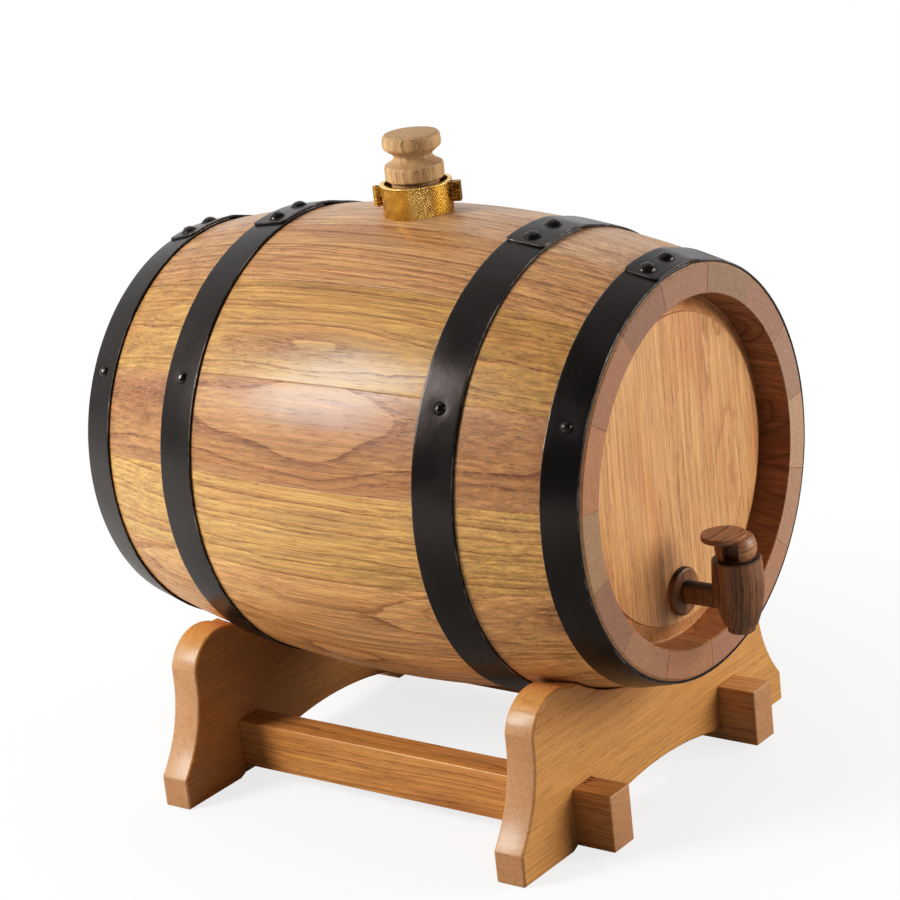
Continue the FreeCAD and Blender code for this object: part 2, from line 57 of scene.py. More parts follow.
FRONT_HOOP_LOW, FRONT_HOOP_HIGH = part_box("front_end_hoop")
BACK_HOOP_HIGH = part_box("back_end_hoop")[1]
HALF_LENGTH = (BACK_HOOP_HIGH.y - FRONT_HOOP_LOW.y) / 2 / MM
CENTRE = Vector((
    (FRONT_HOOP_LOW.x + FRONT_HOOP_HIGH.x) / 2,
    (BACK_HOOP_HIGH.y + FRONT_HOOP_LOW.y) / 2,
    FRONT_HOOP_LOW.z + (FRONT_HOOP_HIGH.x - FRONT_HOOP_LOW.x) / 2,
))
TAP_FOOT = Vector((-0.005, -0.1679, 0.121))   # where the tap's stem line crosses its key's axis


# ------------------------------------------------------------ the barrel's curves, measured from its middle

BELLY_RADIUS, END_RADIUS = 130.0, 108.5
DROP = BELLY_RADIUS - END_RADIUS
BEND_RADIUS = (HALF_LENGTH ** 2 + DROP ** 2) / (2 * DROP)
WALL, END_WALL = 20.0, 21.5   # stave thickness at the belly, and at a head's outer face
FIELD_Y = 150.0               # where a head's outer face lies
CHIME_RADIUS, CHIME_CHAMFER = 92.5, 1.2
GROOVE_OUT, GROOVE_IN, GROOVE_DEPTH = 145.0, 139.0, 3.5


def outer_radius(y):
    """The staves' outside is one long arc from end to end."""
    return BELLY_RADIUS - BEND_RADIUS + math.sqrt(BEND_RADIUS ** 2 - y * y)


def inner_radius(y):
    return outer_radius(y) - WALL - (END_WALL - WALL) * (y / FIELD_Y) ** 2


def round_point(turn, y, radius):
    """A point at this turn round the barrel's axis."""
    a = math.radians(turn)
    return CENTRE + Vector((radius * math.sin(a), y, radius * math.cos(a))) * MM


def direction(azimuth, elevation):
    """Unit vector towards a light or camera; azimuth 0 is in front of the tap, 90 on its right."""
    a = math.radians(azimuth)
    e = math.radians(elevation)
    return Vector((math.sin(a) * math.cos(e), -math.cos(a) * math.cos(e), math.sin(e)))


def spread(start, end, count):
    """Count equal steps from start to end, both included."""
    return [start + (end - start) * i / count for i in range(count + 1)]


def ease(share):
    share = min(1.0, max(0.0, share))
    return share * share * (3 - 2 * share)


def rough_at(point, size):
    """Smooth random relief, about -0.5 to 0.5, with lumps of the given size."""
    return noise.noise(point / (size * MM))


# ------------------------------------------------------------ mesh helpers

def closed_mesh(name, points, faces):
    """A mesh whose faces all look outwards."""
    mesh = bpy.data.meshes.new(name)
    mesh.from_pydata(points, [], faces)
    work = bmesh.new()
    work.from_mesh(mesh)
    bmesh.ops.recalc_face_normals(work, faces=work.faces)
    work.to_mesh(mesh)
    work.free()
    return mesh


def new_object(name, data):
    thing = bpy.data.objects.new(name, data)
    bpy.context.scene.collection.objects.link(thing)
    return thing


def new_piece(name, points, faces, body, slot, node, material, corner):
    """A closed smooth piece in place of a node, sharp only where its faces turn by over corner degrees."""
    mesh = closed_mesh(name, points, faces)
    piece = new_object(name, mesh)
    mesh.shade_smooth()
    mesh.set_sharp_from_angle(angle=math.radians(corner))
    mesh.materials.append(material)
    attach(piece, body)
    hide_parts(node)
    return piece


def dress(piece, material):
    """Gives a whole piece one material."""
    piece.data.materials.clear()
    piece.data.materials.append(material)
    for polygon in piece.data.polygons:
        polygon.material_index = 0


def loft(loops):
    """Points and faces of a solid skin over closed loops of the same length, with both ends filled."""
    size = len(loops[0])
    points = [p for loop in loops for p in loop]
    faces = []
    for i in range(len(loops) - 1):
        for j in range(size):
            k = (j + 1) % size
            faces.append((i * size + j, i * size + k, (i + 1) * size + k, (i + 1) * size + j))
    faces.append(tuple(range(size)))
    faces.append(tuple((len(loops) - 1) * size + j for j in reversed(range(size))))
    return points, faces


def turned_loops(profile, foot, sides):
    """Rings of points for a turned shape; its profile holds (radius, height above the foot)."""
    turns = [2 * math.pi * s / sides for s in range(sides)]
    return [[foot + Vector((r * math.cos(a), r * math.sin(a), z)) * MM for a in turns] for r, z in profile]


def settle(piece):
    """Makes a new piece's modifiers part of its mesh."""
    bpy.context.view_layer.update()
    shaped = piece.evaluated_get(bpy.context.evaluated_depsgraph_get())
    result = bpy.data.meshes.new_from_object(shaped)
    piece.modifiers.clear()
    piece.data = result
    result.set_sharp_from_angle(angle=math.radians(30.0))


def cut_away(piece, points, faces):
    """Takes a closed shape out of a piece."""
    cutter = new_object("cutter", closed_mesh("cutter", points, faces))
    cut = piece.modifiers.new("cut", "BOOLEAN")
    cut.operation = "DIFFERENCE"
    cut.solver = "EXACT"
    cut.object = cutter
    settle(piece)
    bpy.data.objects.remove(cutter)


def ease_edges(piece, width, angle=32.0, miter="MITER_ARC"):
    """Rounds a piece's corners with modifiers, as sanding does; its own mesh stays as it is."""
    weld = piece.modifiers.new("joined_corners", "WELD")
    weld.merge_threshold = 0.002 * MM
    bevel = piece.modifiers.new("eased_edges", "BEVEL")
    bevel.width = width * MM
    bevel.segments = 3
    bevel.limit_method = "ANGLE"
    bevel.angle_limit = math.radians(angle)
    bevel.miter_outer = miter


# ------------------------------------------------------------ hoops

HOOP_SPANS = {                # low and high edge along the barrel; the end hoops stop 1 mm short of its ends
    "front_end_hoop": (-163.0, -143.5),
    "front_inner_hoop": (-97.0, -73.8),
    "back_inner_hoop": (73.8, 97.0),
    "back_end_hoop": (143.5, 163.0),
}
HOOP_THICKNESS = 1.3
HOOP_FIT = 0.05               # room between a hoop and the staves
HOOP_CORNER = 0.42            # rounding of a strap's long edges
HOOP_STEPS = 640
LAP_START, LAP_FULL, LAP_END = 13.0, 4.5, -11.5   # where the upper end leaves the lower, lies flat and stops
LAP_GAP = 0.03
STRAP_CORNER = 2.6            # the upper end's corners are rounded to this radius
STRAP_END_EASE = 0.3
RIVET_TURNS, NAIL_TURNS = (-7.8, 1.0), (-60.8, 119.2)
RIVET_DENT, NAIL_DENT = (0.26, 6.2), (0.3, 4.6)      # depth and width of the dent a hammer left round each


def strap_section(low, high, inset=0.0, narrow=0.0):
    """Corners of a strap's cross-section as (place along the barrel, lift off it, edge wear with a painted
    highlight).
    """
    top = HOOP_THICKNESS - inset
    low = low + inset + narrow
    high = high - inset - narrow
    e = HOOP_CORNER
    quarter = [math.radians(a) for a in spread(0, 90, 4)]
    rise = [(low + e - e * math.cos(a), top - e + e * math.sin(a), 1.0) for a in quarter]
    fall = [(high - e + e * math.sin(a), top - e + e * math.cos(a), 1.0) for a in quarter]
    across = [(y, top, 0.0) for y in spread(low + e, high - e, 22)[1:-1]]
    under = [(y, 0.0, 0.0) for y in spread(high, low, 3)]
    return rise + across + fall + under


def corner_cut(short):
    """How much narrower each side of the strap's rounded end is, this far from the end."""
    return STRAP_CORNER - math.sqrt(STRAP_CORNER ** 2 - (STRAP_CORNER - short) ** 2)


def strap_stations(low, high, mm_per_degree):
    """Along the strap: (turn, cross-section, edge wear with a painted highlight). The last few stations round
    off its upper end.
    """
    last = LAP_END - 360
    body = strap_section(low, high)
    full_width = last + STRAP_CORNER / mm_per_degree
    stations = [(turn, body, 0.0) for turn in spread(LAP_FULL, full_width, HOOP_STEPS)]
    for short in spread(STRAP_CORNER, STRAP_END_EASE, 8)[1:]:
        stations.append((last + short / mm_per_degree, strap_section(low, high, 0.0, corner_cut(short)), 0.5))
    tip = corner_cut(STRAP_END_EASE) + 0.3
    stations.append((last + STRAP_END_EASE / 3 / mm_per_degree, strap_section(low, high, 0.08, tip), 1.0))
    stations.append((last, strap_section(low, high, STRAP_END_EASE, tip), 1.0))
    return stations


def lap_lift(turn):
    """The strap's last stretch climbs on to its first, by one thickness."""
    climbed = (LAP_START - 360 - turn) / (LAP_START - LAP_FULL)
    return ease(climbed) * (HOOP_THICKNESS + LAP_GAP)


def hammer_marks(turn, y, middle, point):
    """Dents left round the fasteners, and the faint waves and peel of painted strap."""
    dents = [(at, *RIVET_DENT) for at in RIVET_TURNS] + [(at, *NAIL_DENT) for at in NAIL_TURNS]
    sink = 0.0
    for at, depth, width in dents:
        gap = (turn - at + 180) % 360 - 180
        away = math.hypot(math.radians(gap) * outer_radius(middle), y - middle)
        if away < 3 * width:
            sink -= depth * math.exp(-(away / width) ** 2)
    return sink + 0.10 * rough_at(point, 17) + 0.03 * rough_at(point, 1.9)


def build_hoop(name, material):
    """One flat strap bent round the staves, its upper end riveted over its lower end."""
    low, high = HOOP_SPANS[name]
    middle = (low + high) / 2
    mm_per_degree = math.radians(outer_radius(middle) + HOOP_THICKNESS)
    loops = []
    wear_and_highlight = []
    for turn, section, end_wear_and_highlight in strap_stations(low, high, mm_per_degree):
        loop = []
        for y, lift, edge_wear_and_highlight in section:
            on_top = lift > HOOP_THICKNESS / 2
            radius = outer_radius(y) + HOOP_FIT + lift + lap_lift(turn)
            if on_top:
                radius += hammer_marks(turn, y, middle, round_point(turn, y, radius))
            loop.append(round_point(turn, y, radius))
            wear_and_highlight.append(max(edge_wear_and_highlight, end_wear_and_highlight * on_top))
        loops.append(loop)
    piece = new_piece(name + "_strap", *loft(loops), "barrel", "hoop_steel", name, material, 60.0)
    # marks the strap's long edges and upper end for worn paint and a painted highlight
    edge = piece.data.attributes.new("edge_wear_and_highlight", "FLOAT", "POINT")
    edge.data.foreach_set("value", wear_and_highlight)


# ------------------------------------------------------------ rivets and nails

RIVET_RADIUS, RIVET_HEIGHT = 4.6, 2.6
NAIL_RADIUS, NAIL_HEIGHT = 3.3, 2.2
NAIL_SINK = 0.1
DOME_SIDES, DOME_RINGS = 28, 9


def dome_profile(radius, height):
    """A cap of a sphere on a slightly flared foot: (radius, height) from the foot to just under the top."""
    sphere = (radius ** 2 + height ** 2) / (2 * height)
    half_angle = math.asin(min(1.0, radius / sphere))
    profile = [(radius * 1.1, -0.6), (radius * 1.14, -0.15), (radius * 1.06, 0.12)]
    for k in range(DOME_RINGS):
        angle = half_angle * (1 - k / DOME_RINGS)
        profile.append((sphere * math.sin(angle), height - sphere * (1 - math.cos(angle))))
    return profile


def add_dome(points, faces, turn, y, lift, radius, height, chance):
    """A hammered round head: lumpy cap, thin rim, closed underneath. Chance sets its small irregularities."""
    tilt = math.asin(y / BEND_RADIUS)
    a = math.radians(turn)
    out = Vector((math.sin(a) * math.cos(tilt), math.sin(tilt), math.cos(a) * math.cos(tilt)))
    along = (Vector((0, 1, 0)) - out * out.y).normalized()
    side = out.cross(along)
    foot = round_point(turn, y, outer_radius(y) + lift)
    radius *= 1 + 0.05 * (chance.random() - 0.5)
    height *= 1 - 0.12 * chance.random()
    lean = Vector((chance.random() - 0.5, chance.random() - 0.5, 0)) * 0.5
    profile = dome_profile(radius, height)
    start = len(points)
    for r, h in profile:
        sway = lean * max(0.0, h) / height
        for s in range(DOME_SIDES):
            b = 2 * math.pi * s / DOME_SIDES
            at = along * (r * math.cos(b) + sway.x) + side * (r * math.sin(b) + sway.y) + out * h
            place = foot + at * MM
            points.append(place + out * (0.3 * rough_at(place, 1.9) * (h > 0.15)) * MM)
    points.append(foot + (out * height + along * lean.x + side * lean.y) * MM)
    for k in range(len(profile) - 1):
        row = start + k * DOME_SIDES
        above = row + DOME_SIDES
        for s in range(DOME_SIDES):
            n = (s + 1) % DOME_SIDES
            faces.append((row + s, row + n, above + n, above + s))
    last = start + (len(profile) - 1) * DOME_SIDES
    for s in range(DOME_SIDES):
        faces.append((last + s, last + (s + 1) % DOME_SIDES, len(points) - 1))
    faces.append(tuple(start + s for s in reversed(range(DOME_SIDES))))


def build_fasteners(material):
    """Two rivets through each hoop's lap and two nails in each hoop."""
    chance = random.Random(7)
    rivets = ([], [])
    nails = ([], [])
    top = HOOP_FIT + HOOP_THICKNESS
    for low, high in HOOP_SPANS.values():
        middle = (low + high) / 2
        for turn in RIVET_TURNS:
            add_dome(*rivets, turn, middle, top + HOOP_THICKNESS, RIVET_RADIUS, RIVET_HEIGHT, chance)
        for turn in NAIL_TURNS:
            add_dome(*nails, turn, middle, top - NAIL_SINK, NAIL_RADIUS, NAIL_HEIGHT, chance)
    new_piece("hoop_rivet_heads", *rivets, "barrel", "rivet_steel", "hoop_rivets", material, 50.0)
    new_piece("hoop_nail_heads", *nails, "barrel", "rivet_steel", "hoop_nails", material, 50.0)


# ------------------------------------------------------------ staves

# turns of the joints
STAVE_EDGES = [-11, 13, 38, 61, 84, 107, 131, 156, 181, 206, 230, 254, 277, 301, 327, 349]
ARRIS = 0.25                                           # width of the eased corner along each joint
ARRIS_SHAPE = ((0.0, 0.13), (0.4, 0.04), (1.0, 0.0))   # share of that width, and how far the wood is cut back
CROWN = 0.05                                           # a stave's outside falls this much towards its joints
JOINT_GAP, END_GAP = 0.02, 0.13                        # half a joint's gap, along it and at its ends
# radius and height: a taper, then the collar's seat
BUNG_HOLE = [(10.85, 100.0), (12.37, 127.6), (19.03, 127.6), (19.03, 140.0)]


def stave_inside(y):
    """Inside radius, tapered from a head's groove out to the rim."""
    if abs(y) < GROOVE_OUT:
        return inner_radius(y)
    share = (abs(y) - GROOVE_OUT) / (HALF_LENGTH - GROOVE_OUT)
    return inner_radius(GROOVE_OUT) + (CHIME_RADIUS - inner_radius(GROOVE_OUT)) * share


def half_stave(end):
    """From a rounded end to near the middle: (distance from the middle, outside radius, inside radius)."""
    wall = inner_radius(GROOVE_OUT)
    chamfer = end - CHIME_CHAMFER
    rows = [
        (end, outer_radius(end) - CHIME_CHAMFER, CHIME_RADIUS + 0.5),
        (end - 0.35, outer_radius(end) - 0.75, CHIME_RADIUS + 0.12),
        (end - 0.8, outer_radius(end) - 0.25, stave_inside(end - 0.8)),
        (chamfer, outer_radius(chamfer), stave_inside(chamfer)),
    ]
    rows += [(y, outer_radius(y), stave_inside(y)) for y in spread(160.0, GROOVE_OUT + 0.2, 6)]
    rows += [(GROOVE_OUT, outer_radius(GROOVE_OUT), wall + 0.15)]
    groove = spread(GROOVE_OUT - 0.01, GROOVE_IN + 0.01, 3)
    rows += [(y, outer_radius(y), wall + GROOVE_DEPTH) for y in groove]
    rows += [(y, outer_radius(y), inner_radius(y)) for y in spread(GROOVE_IN, 3.0, 44)]
    return rows


def stave_stations(chance):
    """Along the whole stave: (place, outside radius, inside radius). Its ends are sawn a little unevenly."""
    front = half_stave(HALF_LENGTH - 0.22 * chance.random())
    back = half_stave(HALF_LENGTH - 0.22 * chance.random())
    middle = (0.0, BELLY_RADIUS, inner_radius(0))
    return [(-y, out, low) for y, out, low in front] + [middle] + back[::-1]


def stave_section(start, end, y, out, low, gap_width):
    """Points round a stave's cross-section: the outside from joint to joint, then the inside back."""
    edge = math.degrees(ARRIS / out)
    gap = math.degrees(gap_width / out)
    left = [(start + gap + edge * share, drop) for share, drop in ARRIS_SHAPE]
    right = [(end - (turn - start), drop) for turn, drop in reversed(left)]
    middle = [(turn, 0.0) for turn in spread(start + gap + edge, end - gap - edge, 18)[1:-1]]
    loop = []
    for turn, drop in left + middle + right:
        point = round_point(turn, y, out)
        crown = CROWN * (2 * abs((turn - start) / (end - start) - 0.5)) ** 2
        wave = 0.12 * (rough_at(point, 38) - 0.5) + 0.03 * rough_at(point, 7)
        loop.append(round_point(turn, y, out - drop - crown + wave))
    return loop + [round_point(turn, y, low) for turn in spread(end - gap, start + gap, 10)]


def build_stave(number, node, material):
    stations = stave_stations(random.Random(100 + number))
    start, end = STAVE_EDGES[number - 1:number + 1]
    loops = []
    for index, (y, out, low) in enumerate(stations):
        at_end = index in (0, len(stations) - 1)
        loops.append(stave_section(start, end, y, out, low, END_GAP if at_end else JOINT_GAP))
    name = f"stave_{number:02d}_shaped"
    piece = new_piece(name, *loft(loops), "barrel", "stave_oak", node, material, 30.0)
    if number == 1:
        cut_away(piece, *loft(turned_loops(BUNG_HOLE, CENTRE, 72)))


# ------------------------------------------------------------ bung

BUNG_CORNERS = [              # radius, height above the barrel's axis, how far the corner is rounded
    (10.9, 103.0, 0.0), (12.35, 129.6, 0.6), (12.9, 133.0, 1.0), (12.9, 146.7, 0.4), (15.4, 147.5, 0.5),
    (15.95, 148.5, 0.5), (16.1, 154.5, 0.5), (15.6, 155.8, 0.6), (12.7, 157.3, 1.3), (10.4, 159.4, 0.9),
    (10.6, 161.0, 0.8), (13.4, 163.2, 1.0), (15.5, 164.7, 0.9), (15.9, 166.1, 0.8), (15.8, 170.5, 1.0),
    (14.6, 172.3, 1.0), (6.0, 172.9, 3.0), (0.6, 173.0, 0.0),
]
BUNG_SIDES = 96
KNOB_FOOT = 145.0             # tool rings show above this height
CAP_MIDDLE = 5.0              # inside this radius the cap stays smooth


def soften(corners):
    """Rounds the corners of a profile and adds points so that none lie over 1 mm apart."""
    path = []
    for i, (r, z, reach) in enumerate(corners):
        here = Vector((r, z))
        if not reach:
            path.append(here)
            continue
        before = Vector(corners[i - 1][:2])
        after = Vector(corners[i + 1][:2])
        enter = here + (before - here).normalized() * min(reach, (before - here).length / 2)
        leave = here + (after - here).normalized() * min(reach, (after - here).length / 2)
        for t in spread(0.0, 1.0, 5):
            path.append(enter * (1 - t) ** 2 + here * 2 * t * (1 - t) + leave * t * t)
    dense = [path[0]]
    for here in path[1:]:
        steps = max(1, math.ceil((here - dense[-1]).length))
        start = dense[-1]
        dense += [start.lerp(here, k / steps) for k in range(1, steps + 1)]
    return [(p.x, p.y) for p in dense]


def build_bung(material):
    """A knob turned on a lathe: faint tool rings and a little out of round."""
    loops = turned_loops(soften(BUNG_CORNERS), CENTRE, BUNG_SIDES)
    for loop in loops:
        rise = loop[0].z / MM
        ring = 0.05 * math.sin(rise * 4.1) * (rise - CENTRE.z / MM > KNOB_FOOT)
        for i, point in enumerate(loop):
            out = Vector((point.x - CENTRE.x, point.y - CENTRE.y, 0))
            sway = ring + 0.16 * rough_at(point, 9) + 0.05 * rough_at(point, 2.2) - 0.1
            if out.length > CAP_MIDDLE * MM:
                loop[i] = point + out.normalized() * sway * MM
    new_piece("bung_turned", *loft(loops), "bung", "bung_oak", "bung", material, 40.0)


# ------------------------------------------------------------ left rail, with its torn corner

TEAR_PLACES = [(-71.4, -123.9, 1.0), (-68.4, -124.2, 1.25), (-65.3, -124.0, 1.1)]    # across, along, size
TEAR_HEIGHT = -151.75         # a quarter millimetre above the rail's top
TEAR_SIDES = 20


def tear_loops(x, y, size):
    """A shallow bowl, long and skewed along the grain, that tears one chip from the rail's top."""
    slopes = [math.radians(a) for a in spread(12, 168, 8)]
    profile = [(size * math.sin(a), -size * math.cos(a)) for a in slopes]
    bowl = turned_loops(profile, Vector((0, 0, 0)), TEAR_SIDES)
    place = CENTRE + Vector((x, y, TEAR_HEIGHT)) * MM
    return [[place + Vector((p.x * 0.9, p.y * 1.9 - p.x * 0.6, p.z * 0.9)) for p in loop] for loop in bowl]


def build_torn_rail(material):
    """The left rail, with three chips torn from its top where it passes through the front board."""
    node = "stand_rail_left"
    piece = new_object(node + "_torn", NODES[node].data.copy())
    ease_edges(piece, 0.2, angle=30.0, miter="MITER_SHARP")
    settle(piece)
    for tear in TEAR_PLACES:
        cut_away(piece, *loft(tear_loops(*tear)))
    dress(piece, material)
    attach(piece, "stand")
    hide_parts(node)


# ------------------------------------------------------------ node helpers

def add(tree, kind, inputs=(), out=0, **settings):
    """Adds a shader node; inputs are sockets or values by index or name. Returns one of its outputs."""
    node = tree.nodes.new(kind)
    for key, value in settings.items():
        setattr(node, key, value)
    for key, value in inputs.items() if isinstance(inputs, dict) else enumerate(inputs):
        if isinstance(value, bpy.types.NodeSocket):
            tree.links.new(value, node.inputs[key])
        elif value is not None:
            node.inputs[key].default_value = value
    return node.outputs[out]


def calc(tree, operation, *inputs):
    return add(tree, "ShaderNodeMath", inputs, operation=operation)


def vector(tree, operation, *inputs):
    return add(tree, "ShaderNodeVectorMath", inputs, operation=operation)


def scaled(tree, value, amount):
    return add(tree, "ShaderNodeVectorMath", {0: value, "Scale": amount}, operation="SCALE")


def dot(tree, a, b):
    return add(tree, "ShaderNodeVectorMath", (a, b), out=1, operation="DOT_PRODUCT")


def length(tree, value):
    return add(tree, "ShaderNodeVectorMath", (value,), out=1, operation="LENGTH")


def split(tree, value):
    """The x, y and z of a vector."""
    node = tree.nodes.new("ShaderNodeSeparateXYZ")
    tree.links.new(value, node.inputs[0])
    return node.outputs


def smooth(tree, value, low, high):
    """0 below low, 1 above high, eased between."""
    inputs = {"Value": value, "From Min": low, "From Max": high}
    return add(tree, "ShaderNodeMapRange", inputs, interpolation_type="SMOOTHSTEP")


def noise_value(tree, place, scale, detail=2.0, roughness=0.5):
    inputs = {"Vector": place, "Scale": scale, "Detail": detail, "Roughness": roughness}
    return add(tree, "ShaderNodeTexNoise", inputs)


def line_noise(tree, place, scale, detail):
    """Noise along one number."""
    inputs = {"W": place, "Scale": scale, "Detail": detail}
    return add(tree, "ShaderNodeTexNoise", inputs, noise_dimensions="1D")


def mix(tree, share, a, b, blend="MIX"):
    node = tree.nodes.new("ShaderNodeMix")
    node.data_type = "RGBA"
    node.blend_type = blend
    for socket, value in ((node.inputs[0], share), (node.inputs[6], a), (node.inputs[7], b)):
        if isinstance(value, bpy.types.NodeSocket):
            tree.links.new(value, socket)
        else:
            socket.default_value = (*value, 1.0) if isinstance(value, tuple) and len(value) == 3 else value
    return node.outputs[2]


def faded_mix(tree, value, low, high, amount, a, b):
    """Mixes b over a by amount, where the value passes from low to high."""
    return mix(tree, calc(tree, "MULTIPLY", smooth(tree, value, low, high), amount), a, b)


def shaded(tree, colour, shade):
    """A colour made darker or lighter by a number."""
    return mix(tree, 1.0, colour, add(tree, "ShaderNodeCombineXYZ", (shade, shade, shade)), blend="MULTIPLY")


def ramp(tree, value, *stops):
    """A smooth curve through (position, brightness) stops."""
    node = tree.nodes.new("ShaderNodeValToRGB")
    elements = node.color_ramp.elements
    while len(elements) < len(stops):
        elements.new(0.5)
    for element, (position, level) in zip(elements, stops):
        element.position = position
        element.color = (level, level, level, 1.0)
    tree.links.new(value, node.inputs[0])
    return node.outputs[0]


def bump(tree, strength, distance, height):
    return add(tree, "ShaderNodeBump", {"Strength": strength, "Distance": distance * MM, "Height": height})


def new_material(name):
    """An empty node material; returns the material and its tree."""
    material = bpy.data.materials.new(name)
    material.use_nodes = True
    material.node_tree.nodes.clear()
    return material, material.node_tree


def surface(tree, shader):
    output = tree.nodes.new("ShaderNodeOutputMaterial")
    tree.links.new(shader, output.inputs["Surface"])


def tinted(colour, factor):
    return tuple(c * factor for c in colour)


def srgb(r, g, b):
    """Linear colour from 0-255 screen values."""
    return tuple(((c / 255 + 0.055) / 1.055) ** 2.4 for c in (r, g, b))


# ------------------------------------------------------------ wood

GRAIN_INPUTS = (("Place", "Vector"), ("Seed", "Float"), ("Heart", "Vector"), ("Lean", "Vector"),
                ("Bow", "Float"), ("Swell", "Vector"), ("Ring", "Float"), ("Wander", "Float"))
GRAIN_OUTPUTS = ("Rings", "Pores", "Fibres", "Patches", "Streaks")
SEED_SHIFT = (311.0, 977.0, 523.0)


def wobble(tree, place, scales, detail, amount):
    """A smooth random shift that changes over 1 / scales mm along each axis."""
    cells = vector(tree, "MULTIPLY", place, scales)
    shift = add(tree, "ShaderNodeTexNoise", {"Vector": cells, "Scale": 1.0, "Detail": detail}, out=1)
    return scaled(tree, vector(tree, "SUBTRACT", shift, (0.5, 0.5, 0.5)), amount)


def stretched_noise(tree, place, scales, detail=2.0, roughness=0.5):
    return noise_value(tree, vector(tree, "MULTIPLY", place, scales), 1.0, detail, roughness)


def heart_distance(tree, given, shift):
    """How far a point lies from the log's middle, which leans, bows and swells along the board."""
    along = split(tree, given["Place"])[1]
    lean = scaled(tree, given["Lean"], along)
    bow = calc(tree, "MULTIPLY", calc(tree, "MULTIPLY", along, along), given["Bow"])
    swell = split(tree, given["Swell"])
    away = calc(tree, "DIVIDE", calc(tree, "SUBTRACT", along, swell[1]), swell[2])
    away = calc(tree, "MULTIPLY", away, away)
    away = calc(tree, "DIVIDE", away, calc(tree, "ADD", away, 1.0))
    rise = calc(tree, "MULTIPLY_ADD", away, swell[0], bow)
    bow = add(tree, "ShaderNodeCombineXYZ", (None, None, rise))
    section = vector(tree, "ADD", vector(tree, "ADD", given["Place"], shift), bow)
    section = vector(tree, "SUBTRACT", vector(tree, "SUBTRACT", section, given["Heart"]), lean)
    return length(tree, vector(tree, "MULTIPLY", section, (1.0, 0.0, 1.0)))


def ring_darkness(tree, rings, bent):
    """Each ring is dark and broken at its start and pale at its end, and no two are equally strong."""
    rings = calc(tree, "ADD", rings, calc(tree, "MULTIPLY", line_noise(tree, rings, 0.45, 1.0), 1.6))
    phase = calc(tree, "FRACT", rings)
    strength = line_noise(tree, calc(tree, "FLOOR", rings), 3.7, 2.0)
    strength = calc(tree, "MULTIPLY_ADD", smooth(tree, strength, 0.3, 0.7), 0.75, 0.25)
    dashes = stretched_noise(tree, bent, (1.0, 0.12, 1.0))
    line = ramp(tree, phase, (0.0, 0.0), (0.03, 1.0), (0.13, 0.55), (0.2, 0.0), (1.0, 0.0))
    line = calc(tree, "MULTIPLY", line, smooth(tree, dashes, 0.3, 0.6))
    band = ramp(tree, phase, (0.0, 0.25), (0.06, 0.62), (0.35, 0.4), (0.75, 0.05), (1.0, 0.25))
    return calc(tree, "MULTIPLY", calc(tree, "MULTIPLY_ADD", line, 0.6, band), strength)


def grain_group():
    """Growth rings, pores and fibres of a board. Place is x across, y along the grain, z through it."""
    tree = bpy.data.node_groups.new("wood_grain", "ShaderNodeTree")
    for name, kind in GRAIN_INPUTS:
        tree.interface.new_socket(name=name, in_out="INPUT", socket_type="NodeSocket" + kind)
    for name in GRAIN_OUTPUTS:
        tree.interface.new_socket(name=name, in_out="OUTPUT", socket_type="NodeSocketFloat")
    given = tree.nodes.new("NodeGroupInput").outputs
    place = vector(tree, "ADD", given["Place"], scaled(tree, SEED_SHIFT, given["Seed"]))
    wide = wobble(tree, place, (1 / 45, 1 / 150, 1 / 45), 1.5, given["Wander"])
    fine = wobble(tree, place, (1 / 9, 1 / 45, 1 / 9), 2.0, 1.8)
    shift = vector(tree, "ADD", wide, fine)
    bent = vector(tree, "ADD", place, shift)
    dark = ring_darkness(tree, calc(tree, "DIVIDE", heart_distance(tree, given, shift), given["Ring"]), bent)

    pores = stretched_noise(tree, bent, (2.0, 0.11, 2.0), 1.5)
    pores = smooth(tree, calc(tree, "ADD", pores, calc(tree, "MULTIPLY", dark, 0.2)), 0.6, 0.74)
    fibres = smooth(tree, stretched_noise(tree, bent, (0.5, 0.008, 0.5), 5.0, 0.72), 0.28, 0.72)
    patches = stretched_noise(tree, place, (1 / 22, 1 / 90, 1 / 22))
    streaks = stretched_noise(tree, bent, (1 / 4, 1 / 240, 1 / 4), 3.0, 0.62)
    result = tree.nodes.new("NodeGroupOutput")
    for name, value in zip(GRAIN_OUTPUTS, (dark, pores, fibres, patches, streaks)):
        tree.links.new(value, result.inputs[name])
    return tree


GRAIN = grain_group()
GRAIN_SPIN = {"X": (0, 0, -math.pi / 2), "Y": (0, 0, 0), "Z": (math.pi / 2, 0, 0)}
GRAIN_AXIS = {"X": (1, 0, 0), "Y": (0, 1, 0), "Z": (0, 0, 1)}
PLAIN_FIGURE = {
    "heart": (0, 60),                   # the log's middle, in mm across and below
    "lean": (0, 0),                     # how that shifts along the board
    "bow": 0.0,                         # bend of the rings along the board, per mm
    "swell": (0, 0, 50),                # height, place and length of a swelling that closes rings into ovals
    "ring": 3.0,                        # ring width
    "wander": 12.0,                     # how far the rings stray
    "seed": 0.0,
    "contrast": 0.7, "pores": 0.5, "stripe": 0.5, "fibres": 0.42,
    "patch": 0.35, "patch_tone": (0.3, 0.12, 0.06),
    "end_rings": 0.22, "turned": 0.0,   # rings and lathe marks on the end grain
    "gloss": 0.45, "coat": 0.25,        # roughness under the varnish, and the varnish
    "smoke": None,                      # painted shade: tone that the side facing the barrel's middle is multiplied by
}


def grain_of(tree, place, look):
    """The grain group's outputs for one board."""
    group = tree.nodes.new("ShaderNodeGroup")
    group.node_tree = GRAIN
    tree.links.new(place, group.inputs["Place"])
    values = {
        "Seed": look.seed, "Bow": look.bow, "Swell": look.swell, "Ring": look.ring, "Wander": look.wander,
        "Heart": (look.heart[0], 0.0, look.heart[1]), "Lean": (look.lean[0], 0.0, look.lean[1])}
    for name, value in values.items():
        group.inputs[name].default_value = value
    return group.outputs


